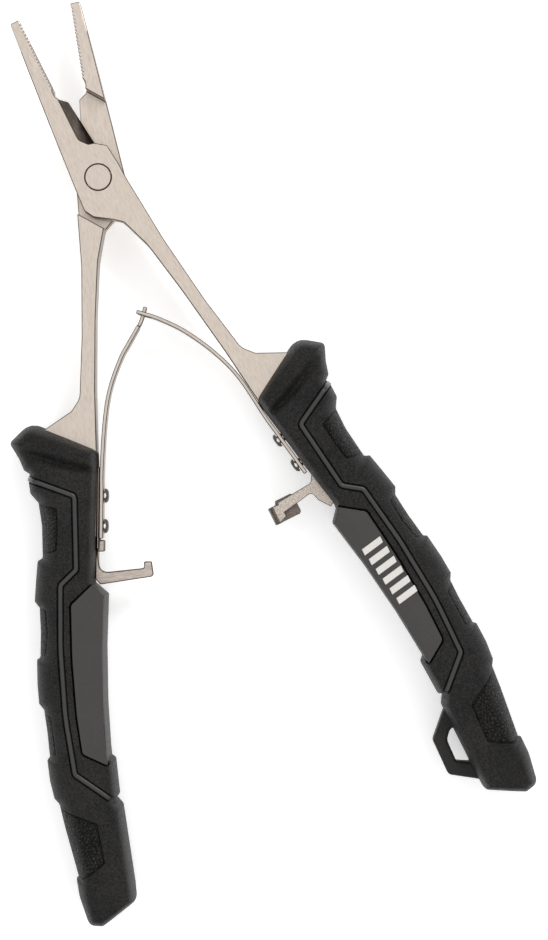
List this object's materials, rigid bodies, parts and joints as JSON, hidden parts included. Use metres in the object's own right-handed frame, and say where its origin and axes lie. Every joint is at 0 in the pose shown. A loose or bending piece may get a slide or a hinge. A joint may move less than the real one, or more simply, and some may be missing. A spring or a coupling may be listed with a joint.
{
  "type": "fishing pliers",
  "caption": "Long-nose fishing pliers with toothed jaws, a side cutter, crossed leaf springs, rubber-covered bowed handles, a handle latch and a lanyard loop.",
  "frame": {"origin": "middle of the pivot rivet's upper face, with the pliers lying flat and sprung open", "axes": "+Z out of the rivet's upper face along the pivot axis, +Y along the bisector of the levers towards the jaw tips, +X towards the handle that carries the lanyard loop"},
  "size_m": [0.1105, 0.2088, 0.017],
  "materials": {
    "satin_steel": "satin ground stainless steel",
    "spring_steel": "satin stainless strip",
    "screw_steel": "bright screws and pins",
    "soft_grip": "matt moulded rubber with pebbled pads",
    "core_nylon": "black moulded nylon",
    "inlay_nylon": "smooth satin charcoal plastic",
    "rib_nylon": "satin grey plastic"
  },
  "bodies": {
    "right_side": {"right_lever": "satin_steel", "right_grip": "soft_grip", "right_core": "core_nylon", "right_inlay": "inlay_nylon", "right_rib_front": "rib_nylon", "right_rib_back": "rib_nylon", "right_spring_screw_upper": "screw_steel", "right_spring_screw_lower": "screw_steel", "pivot_rivet": "satin_steel", "latch_pin": "screw_steel", "lanyard_loop": "core_nylon"},
    "left_side": {"left_lever": "satin_steel", "left_grip": "soft_grip", "left_core": "core_nylon", "left_inlay": "inlay_nylon", "left_rib_front": "rib_nylon", "left_rib_back": "rib_nylon", "left_spring_screw_upper": "screw_steel", "left_spring_screw_lower": "screw_steel", "left_latch_hook": "spring_steel"},
    "right_leaf": {"right_spring": "spring_steel"},
    "left_leaf": {"left_spring": "spring_steel"},
    "latch": {"right_latch": "spring_steel"}
  },
  "joints": [
    {"name": "squeeze", "type": "hinge", "parent": "right_side", "child": "left_side", "pos_m": [0, 0, -0.00365], "axis": [0, 0, 1], "range_deg": [0, 17.1], "stiffness_Nm_per_rad": 1.5, "springref_deg": -1.72},
    {"name": "right_leaf_flex", "type": "hinge", "parent": "right_side", "child": "right_leaf", "pos_m": [0.01659, -0.05312, -0.00365], "axis": [0, 0, 1], "range_deg": [-12.6, 0], "deforming": ["right_spring"]},
    {"name": "left_leaf_flex", "type": "hinge", "parent": "left_side", "child": "left_leaf", "pos_m": [-0.01728, -0.0529, -0.00365], "axis": [0, 0, 1], "range_deg": [0, 12.6], "deforming": ["left_spring"]},
    {"name": "latch_swing", "type": "hinge", "parent": "right_side", "child": "latch", "pos_m": [0.03022, -0.08525, -0.00365], "axis": [0, 0, 1], "range_deg": [-3, 8]}
  ],
  "couplings": [
    {"joint": "right_leaf_flex", "follows": "squeeze", "ratio": -0.713},
    {"joint": "left_leaf_flex", "follows": "squeeze", "ratio": 0.713}
  ]
}
